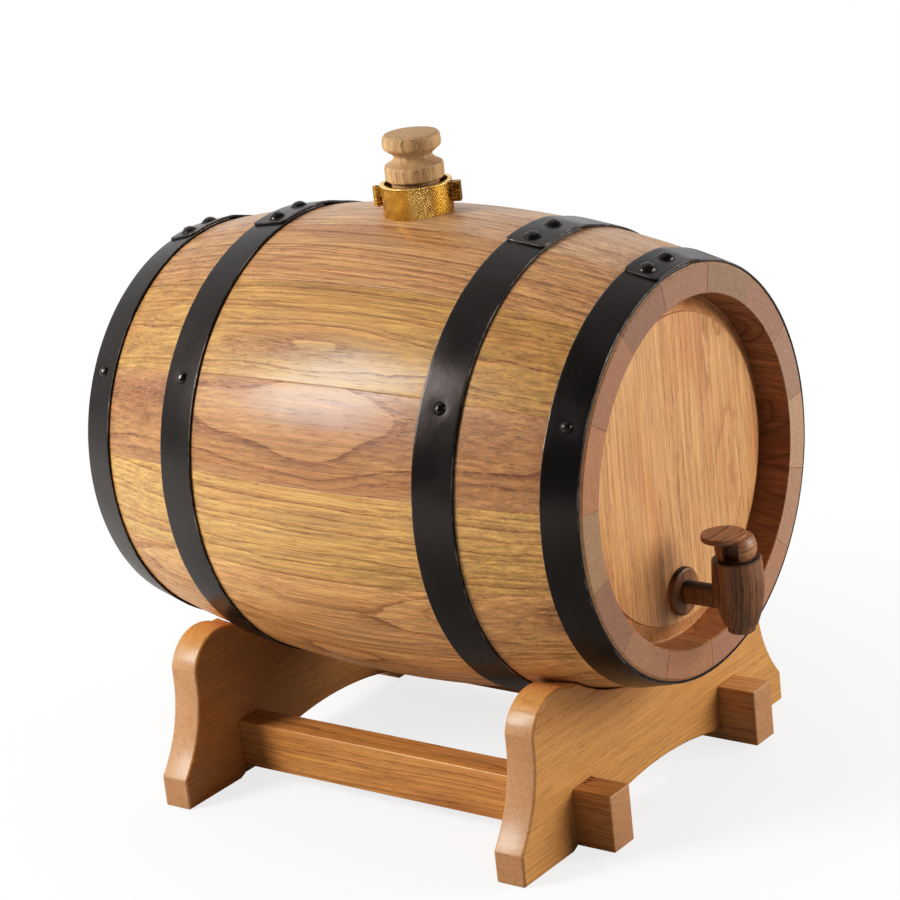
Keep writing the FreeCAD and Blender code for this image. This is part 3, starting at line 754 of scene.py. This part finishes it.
def long_grain_colour(tree, grain, look, light, dark):
    """The wood along its grain: rings, pale and warm streaks, patches and fibres."""
    rings, _, fibre, patches, streak = grain
    pale = (light[0] * 1.12, light[1] * 1.14, light[2] * 1.02)
    warm = (light[0] * 0.93, light[1] * 0.76, light[2] * 0.58)
    colour = mix(tree, calc(tree, "MULTIPLY", rings, look.contrast), light, dark)
    colour = faded_mix(tree, streak, 0.52, 0.7, look.stripe, colour, pale)
    colour = faded_mix(tree, streak, 0.48, 0.3, look.stripe * 0.8, colour, warm)
    colour = faded_mix(tree, patches, 0.5, 0.75, look.patch, colour, look.patch_tone)
    return shaded(tree, colour, calc(tree, "MULTIPLY_ADD", fibre, look.fibres, 0.91 - look.fibres / 2))


def end_grain_colour(tree, place, grain, look, end):
    """The sawn end: rings, pale specks and, on a turned rim, the lathe's marks."""
    speck = stretched_noise(tree, place, (2.0, 0.2, 2.0))
    colour = mix(tree, calc(tree, "MULTIPLY", grain[0], look.end_rings), end, tinted(end, 0.6))
    colour = faded_mix(tree, speck, 0.55, 0.7, 0.4, colour, tinted(end, 1.35))
    if look.turned:
        cuts = line_noise(tree, length(tree, vector(tree, "MULTIPLY", place, (1.0, 0.0, 1.0))), 1.5, 3.0)
        colour = faded_mix(tree, cuts, 0.45, 0.62, look.turned, colour, tinted(end, 0.66))
    return shaded(tree, colour, calc(tree, "MULTIPLY_ADD", grain[2], 0.24, 0.79))


def wood(name, light, dark, end, along="Y", turn=0.0, origin=CENTRE, **figure):
    """A board cut from a log. Light and dark are its ring tones, end its end grain. Turn rolls it round the
    barrel. Figure changes what PLAIN_FIGURE gives."""
    look = SimpleNamespace(**{**PLAIN_FIGURE, **figure})
    material, tree = new_material(name)
    coords = tree.nodes.new("ShaderNodeTexCoord").outputs
    inputs = {"Vector": coords["Object"], "Location": tuple(origin), "Scale": (MM, MM, MM),
              "Rotation": (0, turn, 0) if along == "Y" else GRAIN_SPIN[along]}
    place = add(tree, "ShaderNodeMapping", inputs, vector_type="TEXTURE")
    grain = grain_of(tree, place, look)
    rings, pore, fibre = grain[0], grain[1], grain[2]

    facing_end = calc(tree, "ABSOLUTE", dot(tree, coords["Normal"], GRAIN_AXIS[along]))
    across = smooth(tree, facing_end, 0.55, 0.9)
    colour = mix(tree, across, long_grain_colour(tree, grain, look, light, dark),
                 end_grain_colour(tree, place, grain, look, end))
    # painted shade: darkens the side that faces the barrel's middle
    if look.smoke:
        outward = dot(tree, coords["Normal"], (math.sin(turn), 0.0, math.cos(turn)))
        shaded_inside = mix(tree, 1.0, colour, look.smoke, blend="MULTIPLY")
        colour = mix(tree, smooth(tree, outward, -0.4, -0.8), colour, shaded_inside)
    pore_share = calc(tree, "MULTIPLY_ADD", across, -0.8 * look.pores, look.pores)
    colour = mix(tree, calc(tree, "MULTIPLY", pore, pore_share), colour, tinted(dark, 0.45))

    height = calc(tree, "MULTIPLY_ADD", pore, -1.0, calc(tree, "MULTIPLY", fibre, 0.35))
    height = calc(tree, "MULTIPLY_ADD", rings, -0.3, height)
    rough = calc(tree, "MULTIPLY_ADD", fibre, 0.12, look.gloss - 0.06)
    shader = add(tree, "ShaderNodeBsdfPrincipled", {
        "Base Color": colour, "Roughness": calc(tree, "MULTIPLY_ADD", pore, 0.2, rough),
        "Normal": bump(tree, 0.35, 0.12, height), "Specular IOR Level": 0.35,
        "Coat Weight": look.coat, "Coat Roughness": 0.22})
    surface(tree, shader)
    return material


# ------------------------------------------------------------ steel and brass

COLLAR_RADIUS, COLLAR_TOP, KNURL_PITCH = 19.0, 146.0, 1.7
HIGHLIGHT_AZIMUTH = -46          # the side where a painted highlight runs down the collar


def painted_steel(name, gloss, tone, shine):
    """Black painted steel with an orange-peel skin, rubbed to bare metal along its edges, where the paler
    metal is also a painted highlight.
    """
    material, tree = new_material(name)
    coords = tree.nodes.new("ShaderNodeTexCoord").outputs["Object"]
    peel = noise_value(tree, coords, 650.0, 3.0)
    smudge = noise_value(tree, coords, 40.0, 3.0)
    chips = noise_value(tree, coords, 170.0, 5.0, 0.7)
    wear_and_highlight = add(tree, "ShaderNodeAttribute", out=2, attribute_name="edge_wear_and_highlight")
    # paler bare metal in spots along the marked edges: partly wear, partly a painted highlight
    wear_and_highlight = smooth(tree, calc(tree, "MULTIPLY", wear_and_highlight, calc(tree, "ADD", chips, smudge)), 0.86, 1.3)
    tint = mix(tree, smooth(tree, smudge, 0.4, 0.65), (tone, tone * 0.86, tone * 0.8),
               (tone * 1.7, tone * 1.5, tone * 1.4))
    shader = add(tree, "ShaderNodeBsdfPrincipled", {
        "Base Color": mix(tree, wear_and_highlight, tint, (0.22, 0.19, 0.17)),
        "Roughness": calc(tree, "MULTIPLY_ADD", smudge, 0.2, gloss - 0.1),
        "Normal": bump(tree, 0.16, 0.1, peel), "Specular IOR Level": shine,
        "Specular Tint": (1.0, 0.84, 0.78, 1.0), "Metallic": calc(tree, "MULTIPLY", wear_and_highlight, 0.6)})
    surface(tree, shader)
    return material


def knurl(tree, coords, side, height):
    """Two crossing sets of cuts round the collar, worn away in places."""
    round_way = calc(tree, "MULTIPLY", calc(tree, "ARCTAN2", side[1], side[0]), COLLAR_RADIUS)
    jitter = calc(tree, "MULTIPLY", noise_value(tree, coords, 260.0, 2.0), 2.2)
    cuts = []
    for way in (1.0, -1.0):
        across = calc(tree, "ADD", calc(tree, "MULTIPLY_ADD", height, way, round_way), jitter)
        wave = calc(tree, "SINE", calc(tree, "MULTIPLY", across, 2 * math.pi / KNURL_PITCH))
        cuts.append(smooth(tree, wave, 0.35, 0.95))
    patchy = noise_value(tree, coords, 120.0, 3.0)
    return calc(tree, "MULTIPLY", calc(tree, "MAXIMUM", *cuts), smooth(tree, patchy, 0.25, 0.5))


def brass(name):
    """Brass with a cross-cut knurl and tarnish in its hollows, and a painted highlight round its rim and down
    one side.
    """
    material, tree = new_material(name)
    coords = tree.nodes.new("ShaderNodeTexCoord").outputs["Object"]
    local = vector(tree, "SUBTRACT", coords, tuple(CENTRE))
    side = split(tree, local)
    height = calc(tree, "DIVIDE", side[2], MM)
    hatch = knurl(tree, coords, side, height)
    smudge = noise_value(tree, coords, 75.0, 4.0)
    scratch = noise_value(tree, vector(tree, "MULTIPLY", coords, (1.0, 1.0, 14.0)), 500.0, 2.0)
    tone = mix(tree, smooth(tree, smudge, 0.35, 0.65), (0.80, 0.46, 0.085), (0.50, 0.25, 0.035))
    tone = mix(tree, calc(tree, "MULTIPLY", hatch, 0.75), tone, (0.24, 0.10, 0.014))
    per_radius = 1 / (COLLAR_RADIUS * MM)
    flat = vector(tree, "MULTIPLY", local, (per_radius, per_radius, 0.0))
    front = dot(tree, flat, tuple(direction(HIGHLIGHT_AZIMUTH, 0)))
    # painted highlight: a bright strip down the side towards the camera, and round the rim's top
    painted_highlight = calc(tree, "MULTIPLY_ADD", hatch, -0.5, 0.75)
    painted_highlight = calc(tree, "MULTIPLY", smooth(tree, front, 0.9, 1.0), painted_highlight)
    painted_highlight = calc(tree, "MAXIMUM", painted_highlight, smooth(tree, height, COLLAR_TOP - 0.7, COLLAR_TOP - 0.15))
    rough = calc(tree, "MULTIPLY_ADD", smudge, 0.22, 0.14)
    relief = calc(tree, "MULTIPLY_ADD", hatch, -1.0, calc(tree, "MULTIPLY", scratch, 0.2))
    shader = add(tree, "ShaderNodeBsdfPrincipled", {
        "Base Color": mix(tree, painted_highlight, tone, (1.0, 0.72, 0.27)), "Metallic": 1.0,
        "Roughness": calc(tree, "MULTIPLY_ADD", hatch, 0.2, rough), "Normal": bump(tree, 0.9, 0.2, relief)})
    surface(tree, shader)
    return material


# ------------------------------------------------------------ tones and dressing

BEND_FLAT = 1 / 1272.0        # takes the barrel's bulge out of the grain, per mm
HEAD_LIGHT, HEAD_DARK = srgb(226, 171, 116), srgb(179, 114, 65)
WALNUT_LIGHT, WALNUT_DARK = srgb(160, 108, 66), srgb(44, 24, 15)
STAND_LIGHT, STAND_DARK, STAND_END = srgb(221, 162, 94), srgb(170, 106, 46), srgb(200, 148, 104)

# light tone, dark tone, heart across and below, lean, swell, ring width, patch, wander
STAVES = {
    1: (srgb(200, 157, 118), srgb(156, 108, 74), (60, 70), (0.05, 0), (0, 0, 50), 3.2, 0.3, 8),
    2: (srgb(208, 160, 106), srgb(155, 104, 60), (-60, 60), (0.02, 0), (2, 30, 60), 3.0, 0.3, 10),
    3: (srgb(200, 150, 100), srgb(146, 92, 52), (5, 100), (0.02, 0.02), (5, -20, 60), 2.6, 0.4, 8),
    4: (srgb(214, 164, 104), srgb(168, 114, 64), (40, 80), (0, 0), (3, 40, 70), 3.0, 0.2, 8),
    5: (srgb(200, 146, 92), srgb(146, 90, 50), (-10, 95), (0.02, 0), (4, 10, 50), 2.8, 0.4, 9),
    6: (srgb(210, 158, 98), srgb(160, 104, 56), (60, 70), (0, 0), (3, -40, 60), 2.8, 0.3, 8),
    7: (srgb(206, 152, 94), srgb(154, 98, 54), (-40, 80), (0.03, 0), (2, 0, 60), 3.0, 0.3, 10),
    8: (srgb(200, 144, 88), srgb(146, 92, 52), (10, 90), (0, 0.02), (4, 30, 60), 2.8, 0.4, 9),
    9: (srgb(214, 160, 100), srgb(162, 106, 58), (60, 80), (0, 0), (3, 0, 60), 2.8, 0.2, 8),
    # staves 10 and 11 face down and to the left; their lighter tones are painted light
    10: (srgb(234, 176, 112), srgb(160, 104, 58), (10, 92), (-0.02, 0.01), (4, 20, 70), 2.8, 0.2, 8),
    11: (srgb(227, 171, 109), srgb(162, 106, 58), (8, 96), (0.0, -0.04), (2, 40, 60), 2.6, 0.15, 6),
    12: (srgb(214, 166, 98), srgb(152, 100, 50), (-30, 96), (0.03, 0), (2, -30, 60), 2.4, 0.15, 6),
    13: (srgb(188, 137, 89), srgb(120, 74, 44), (4, 92), (0.0, 0.01), (6, -12, 42), 2.8, 0.5, 6),
    14: (srgb(194, 147, 82), srgb(132, 84, 38), (-8, 106), (0.0, 0.0), (1.6, -12, 46), 1.6, 0.3, 4),
    15: (srgb(198, 148, 96), srgb(146, 94, 54), (50, 80), (0.03, 0), (1.5, 0, 60), 2.2, 0.25, 5),
}
# painted shade: what the tones inside the staves are multiplied by, and the staves on whose insides it is
# deepest
INNER_SHADE_DEEP, INNER_SHADE_LIGHT = (0.66, 0.50, 0.50), (0.86, 0.74, 0.64)
DEEP_SHADE_STAVES = range(2, 8)
# tones of the stave ends round both rims
END_TONES = {
    1: (170, 124, 96), 2: (160, 126, 98), 3: (170, 126, 100), 4: (176, 136, 112), 5: (196, 156, 122),
    6: (190, 146, 116), 7: (188, 140, 108), 8: (180, 132, 102), 9: (184, 132, 94), 10: (178, 132, 98),
    11: (162, 120, 94), 12: (178, 140, 104), 13: (190, 134, 94), 14: (176, 126, 92), 15: (158, 116, 90),
}


def dress_staves():
    for number, (light, dark, heart, lean, swell, ring, patch, wander) in STAVES.items():
        name = "stave_01_bung" if number == 1 else f"stave_{number:02d}"
        middle = math.radians((STAVE_EDGES[number - 1] + STAVE_EDGES[number]) / 2)
        # the staves' insides get painted shade, deepest on the right-hand staves 2 to 7
        oak = wood(
            name + "_oak", light, dark, srgb(*END_TONES[number]), turn=middle, heart=heart, lean=lean,
            bow=BEND_FLAT, swell=swell, ring=ring, patch=patch, patch_tone=srgb(168, 104, 66), wander=wander,
            contrast=0.7 if number == 1 else 1.2, pores=0.4, fibres=0.62, turned=0.4, stripe=0.7, coat=0.27,
            smoke=INNER_SHADE_DEEP if number in DEEP_SHADE_STAVES else INNER_SHADE_LIGHT, seed=number * 0.37)
        build_stave(number, name, oak)


def dress_heads():
    for end_name, facing in (("front", -1), ("back", 1)):
        for index, place in enumerate(("left", "centre", "right")):
            name = f"{end_name}_head_board_{place}"
            dress(NODES[name], wood(
                name + "_oak", HEAD_LIGHT, HEAD_DARK, HEAD_DARK, along="Z",
                heart=(118 - 38 * index, -58 * facing), lean=(0.03, 0), swell=(3, -20, 60), ring=2.3,
                wander=12.0, contrast=0.36, pores=0.36, patch=0.6, patch_tone=srgb(206, 134, 82),
                stripe=0.38, fibres=0.42, seed=index * 0.71 + facing))
        dowel_wood = wood(end_name + "_dowel_wood", STAND_LIGHT, STAND_DARK, STAND_END, along="X")
        dress(NODES[f"{end_name}_head_dowels"], dowel_wood)


def dress_steel():
    paint = painted_steel("hoop_paint", 0.28, 0.0055, 0.36)
    for name in HOOP_SPANS:
        build_hoop(name, paint)
    build_fasteners(painted_steel("rivet_paint", 0.2, 0.006, 0.5))


def dress_collar():
    metal = brass("collar_brass")
    for name in ("collar_front_half", "collar_rear_half", "collar_hinge_pin", "collar_clamp_screw"):
        dress(NODES[name], metal)


def dress_bung():
    build_bung(wood(
        "bung_oak", srgb(202, 162, 116), srgb(130, 98, 64), srgb(186, 150, 110), along="Z", heart=(60, -40),
        ring=1.3, wander=3.0, pores=0.6, contrast=0.8, patch=0.3, patch_tone=srgb(160, 122, 84),
        coat=0.0, gloss=0.62, seed=1.3, fibres=0.5, stripe=0.3))


def dress_tap():
    dress(NODES["tap_body"], wood(
        "tap_walnut", WALNUT_LIGHT, WALNUT_DARK, WALNUT_DARK, along="Z", origin=TAP_FOOT, heart=(19, 24),
        ring=2.2, wander=2.5, seed=2.6, contrast=1.05, stripe=0.8, patch=0.5, patch_tone=srgb(70, 42, 28)))
    dress(NODES["tap_key"], wood(
        "key_walnut", srgb(188, 136, 92), srgb(86, 48, 32), srgb(150, 104, 66), along="X", origin=TAP_FOOT,
        heart=(12, -26), ring=1.6, wander=3.0, seed=3.4, contrast=1.1, stripe=0.9, end_rings=0.6))
    dress(NODES["tap_cork_liner"], wood(
        "liner_cork", srgb(170, 120, 76), srgb(120, 80, 50), srgb(150, 104, 66), along="Z"))


def dress_stand():
    # the back board's darker tones are painted shade, for its face that lies in the barrel's shadow
    for name, light, dark, seed in (("stand_board_front", STAND_LIGHT, STAND_DARK, 5.1),
                                    ("stand_board_back", srgb(210, 150, 84), srgb(158, 96, 42), 4.8)):
        dress(NODES[name], wood(
            name + "_wood", light, dark, STAND_END, along="X", heart=(120, 60), ring=3.2, wander=16.0,
            contrast=0.24, patch=0.4, patch_tone=srgb(204, 138, 74), pores=0.28, stripe=0.22, fibres=0.22,
            seed=seed))
    # the left rail's darker, redder tones are painted shade and the right rail's paler tones painted light
    for name, light, dark, seed in (("stand_rail_left", srgb(214, 152, 84), srgb(150, 90, 42), 4.5),
                                    ("stand_rail_right", srgb(228, 172, 108), srgb(178, 116, 60), 4.8)):
        rail_wood = wood(
            name + "_wood", light, dark, STAND_END, along="Y", heart=(-30, 60), ring=2.6, wander=10.0,
            contrast=0.75, patch=0.35, patch_tone=srgb(150, 88, 42), pores=0.35, seed=seed)
        dress(NODES[name], rail_wood)
        if name == "stand_rail_left":
            build_torn_rail(rail_wood)


# ------------------------------------------------------------ floor, light and camera

WHITE = (1.0, 1.0, 1.0, 1.0)
FLOOR_HALF = 8.0              # m
GLOW_AZIMUTH = -155           # the side on which the paper glows


def make_floor():
    """Pale paper that fades to white away from the stand and glows beyond the barrel's back end."""
    mesh = bpy.data.meshes.new("floor")
    corners = [(x * FLOOR_HALF, y * FLOOR_HALF, 0) for x, y in ((-1, -1), (1, -1), (1, 1), (-1, 1))]
    mesh.from_pydata(corners, [], [(0, 1, 2, 3)])
    floor = new_object("floor", mesh)
    material, tree = new_material("floor_paper")
    coords = tree.nodes.new("ShaderNodeTexCoord").outputs["Object"]
    from_middle = vector(tree, "SUBTRACT", coords, (0.0, CENTRE.y, 0.0))
    lit = dot(tree, from_middle, tuple(direction(GLOW_AZIMUTH, 0)))
    lit = calc(tree, "MULTIPLY", smooth(tree, lit, 0.12, 0.5), 0.85)
    paper = add(tree, "ShaderNodeBsdfPrincipled", {
        "Base Color": (0.42, 0.41, 0.40, 1.0), "Roughness": 0.9, "Specular IOR Level": 0.1,
        "Emission Color": WHITE, "Emission Strength": lit})
    seen = add(tree, "ShaderNodeBsdfDiffuse", {"Color": (0.9, 0.9, 0.9, 1.0)})
    glow = add(tree, "ShaderNodeEmission", {"Color": WHITE, "Strength": 1.0})
    fade = calc(tree, "MULTIPLY_ADD", smooth(tree, length(tree, from_middle), 0.1, 0.5), 0.25, 0.75)
    seen = add(tree, "ShaderNodeMixShader", (fade, seen, glow))
    ray = tree.nodes.new("ShaderNodeLightPath").outputs["Is Camera Ray"]
    surface(tree, add(tree, "ShaderNodeMixShader", (ray, paper, seen)))
    mesh.materials.append(material)


def softbox(name, azimuth, elevation, distance, size, power):
    light = bpy.data.lights.new(name, "AREA")
    light.shape = "RECTANGLE"
    light.size, light.size_y = size
    light.energy = power
    lamp = new_object(name, light)
    towards = direction(azimuth, elevation)
    lamp.location = CENTRE + towards * distance
    lamp.rotation_euler = towards.to_track_quat("Z", "Y").to_euler()


def make_world():
    """A white studio: bright behind the object, dimmer around the camera, plain white to the lens."""
    world = bpy.data.worlds.new("studio")
    bpy.context.scene.world = world
    world.use_nodes = True
    tree = world.node_tree
    tree.nodes.clear()
    ray = tree.nodes.new("ShaderNodeLightPath").outputs["Is Camera Ray"]
    looking = tree.nodes.new("ShaderNodeTexCoord").outputs["Generated"]
    backdrop = smooth(tree, dot(tree, looking, tuple(direction(150, 15))), 0.0, 0.8)
    sky = add(tree, "ShaderNodeBackground", {
        "Color": WHITE, "Strength": calc(tree, "MULTIPLY_ADD", backdrop, 0.8, 0.07)})
    seen = add(tree, "ShaderNodeBackground", {"Color": WHITE, "Strength": 1.0})
    output = tree.nodes.new("ShaderNodeOutputWorld")
    tree.links.new(add(tree, "ShaderNodeMixShader", (ray, sky, seen)), output.inputs["Surface"])


LENS, SENSOR_WIDTH = 118.46, 36.0              # mm
EYE = Vector((-1.21246, -0.95598, 0.49783))    # the camera, from the barrel's middle
VIEW_AZIMUTH, VIEW_ELEVATION, VIEW_ROLL = -51.836, 18.076, -6.288


def make_camera():
    camera = bpy.data.cameras.new("camera")
    camera.sensor_width = SENSOR_WIDTH
    camera.lens = LENS
    camera.clip_start, camera.clip_end = 0.05, 100.0
    azimuth, roll = math.radians(VIEW_AZIMUTH), math.radians(VIEW_ROLL)
    back = direction(VIEW_AZIMUTH, VIEW_ELEVATION)
    level = Vector((math.cos(azimuth), math.sin(azimuth), 0))
    up = back.cross(level)
    right_axis = level * math.cos(roll) + up * math.sin(roll)
    up_axis = up * math.cos(roll) - level * math.sin(roll)
    view = new_object("camera", camera)
    turn = Matrix((right_axis, up_axis, back)).transposed().to_4x4()
    view.matrix_world = Matrix.Translation(CENTRE + EYE) @ turn
    bpy.context.scene.camera = view


def set_film():
    """Plain colours with slightly deeper shadows, as in a print."""
    look = bpy.context.scene.view_settings
    look.view_transform = "Standard"
    look.use_curve_mapping = True
    curve = look.curve_mapping.curves[3]
    curve.points[1].location = (1.0, 1.0)
    for place in ((0.05, 0.038), (0.15, 0.132), (0.35, 0.355), (0.6, 0.635)):
        curve.points.new(*place)
    look.curve_mapping.update()


dress_staves()
dress_heads()
dress_steel()
for name, width in (("stand_board_front", 0.7), ("stand_board_back", 0.7), ("stand_rail_right", 0.2)):
    ease_edges(NODES[name], width)
dress_collar()
dress_bung()
dress_tap()
dress_stand()

set_film()
make_floor()
make_world()
softbox("key", -128, 32, 1.7, (0.5, 0.85), 28.5)
softbox("front_fill", 32, 14, 1.8, (1.5, 1.1), 28)
make_camera()
